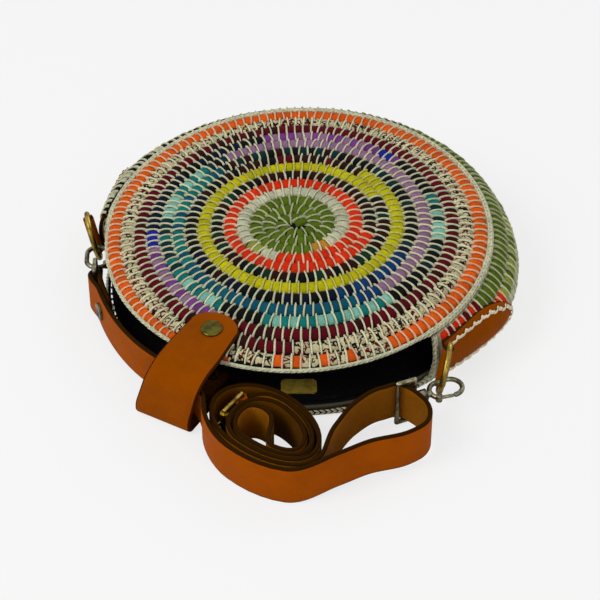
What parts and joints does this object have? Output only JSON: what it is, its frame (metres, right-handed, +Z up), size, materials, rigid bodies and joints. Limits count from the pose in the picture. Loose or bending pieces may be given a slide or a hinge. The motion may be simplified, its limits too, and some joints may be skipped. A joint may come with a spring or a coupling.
{
  "type": "circle bag",
  "caption": "Round crocheted shoulder bag with a leather strap clipped on two D-rings, an open lined mouth and a snap tab.",
  "frame": {"origin": "centre of the back panel's flat face, on the floor that the bag lies on", "axes": "+Z up out of the front panel, -Y towards the middle of the open mouth, +X towards the right D-ring"},
  "size_m": [0.2641, 0.2898, 0.0507],
  "materials": {
    "front_crochet": "coiled wool crochet in bands of green, red, black, yellow, teal, lilac, maroon and orange",
    "crochet": "coiled wool crochet, olive green and grey cream",
    "edging": "cream crochet edging",
    "lining": "black lining cloth",
    "tan_leather": "tan vegetable-tanned leather",
    "strap_leather": "orange-brown smooth strap leather with a dark flesh side",
    "brass": "worn brass",
    "old_brass": "antique brass",
    "dark_steel": "antique plated steel"
  },
  "bodies": {
    "bag": {"front_panel": "front_crochet", "back_panel": "crochet", "gusset": "crochet", "front_edge": "edging", "back_edge": "edging", "left_end_edge": "edging", "right_end_edge": "edging", "front_lining": "lining", "back_lining": "lining", "gusset_lining": "lining", "left_patch": "tan_leather", "right_patch": "tan_leather", "left_ring_loop": "tan_leather", "right_ring_loop": "tan_leather", "shoulder_strap": "strap_leather", "strap_roll": "strap_leather", "strap_rivet": "dark_steel", "closure_tab": "tan_leather", "tab_rivets": "brass", "snap_stud": "brass", "label_plate": "brass", "plate_rivets": "brass"},
    "closure_flap": {"closure_flap": "tan_leather", "snap_cap": "old_brass", "snap_socket": "brass"},
    "left_d_ring": {"left_d_ring": "brass"},
    "right_d_ring": {"right_d_ring": "brass"},
    "left_hook_base": {"left_hook_base": "dark_steel"},
    "right_hook_base": {"right_hook_base": "dark_steel"},
    "left_hook": {"left_hook": "dark_steel", "left_gate_pin": "dark_steel"},
    "right_hook": {"right_hook": "dark_steel", "right_gate_pin": "dark_steel"},
    "left_gate": {"left_gate": "dark_steel"},
    "right_gate": {"right_gate": "dark_steel"},
    "buckle_frame": {"buckle_frame": "brass"},
    "buckle_roller": {"buckle_roller": "brass"},
    "buckle_prong": {"buckle_prong": "brass"}
  },
  "joints": [
    {"name": "flap_lift", "type": "hinge", "parent": "bag", "child": "closure_flap", "pos_m": [0.0008, -0.11624, 0.03864], "axis": [1, 0, 0], "range_deg": [0, 150]},
    {"name": "left_ring_swing", "type": "hinge", "parent": "bag", "child": "left_d_ring", "pos_m": [-0.11722, -0.04013, 0.01947], "axis": [0.2764, -0.0297, -0.9606], "range_deg": [-6, 6]},
    {"name": "right_ring_swing", "type": "hinge", "parent": "bag", "child": "right_d_ring", "pos_m": [0.11679, -0.04136, 0.01947], "axis": [0.0334, 0.3282, 0.944], "range_deg": [-3, 12]},
    {"name": "left_base_turn", "type": "hinge", "parent": "bag", "child": "left_hook_base", "pos_m": [-0.09031, -0.07796, 0.0157], "axis": [0, 0, 1], "range_deg": [-3, 3]},
    {"name": "right_base_turn", "type": "hinge", "parent": "bag", "child": "right_hook_base", "pos_m": [0.10593, -0.07648, 0.0157], "axis": [0, 0, 1], "range_deg": [-2, 1]},
    {"name": "left_swivel", "type": "hinge", "parent": "left_hook_base", "child": "left_hook", "pos_m": [-0.09031, -0.07796, 0.0157], "axis": [-0.527, 0.8499, 0], "range_deg": [-15, 15]},
    {"name": "right_swivel", "type": "hinge", "parent": "right_hook_base", "child": "right_hook", "pos_m": [0.10593, -0.07648, 0.0157], "axis": [0.6018, 0.7986, 0], "range_deg": [-15, 15]},
    {"name": "left_gate_press", "type": "hinge", "parent": "left_hook", "child": "left_gate", "pos_m": [-0.09788, -0.05581, 0.0157], "axis": [0, 0, 1], "range_deg": [0, 24], "stiffness_Nm_per_rad": 0.05},
    {"name": "right_gate_press", "type": "hinge", "parent": "right_hook", "child": "right_gate", "pos_m": [0.12384, -0.06142, 0.0157], "axis": [0, 0, 1], "range_deg": [0, 24], "stiffness_Nm_per_rad": 0.05},
    {"name": "buckle_swing", "type": "hinge", "parent": "bag", "child": "buckle_frame", "pos_m": [0.03268, -0.11917, 0.0128], "axis": [0, 0, 1], "range_deg": [-2, 1.5]},
    {"name": "roller_spin", "type": "hinge", "parent": "buckle_frame", "child": "buckle_roller", "pos_m": [0.03134, -0.13512, 0.0128], "axis": [0, 0, 1], "continuous": true},
    {"name": "prong_lift", "type": "hinge", "parent": "buckle_frame", "child": "buckle_prong", "pos_m": [0.03268, -0.11917, 0.0128], "axis": [0, 0, -1], "range_deg": [0, 4]}
  ]
}
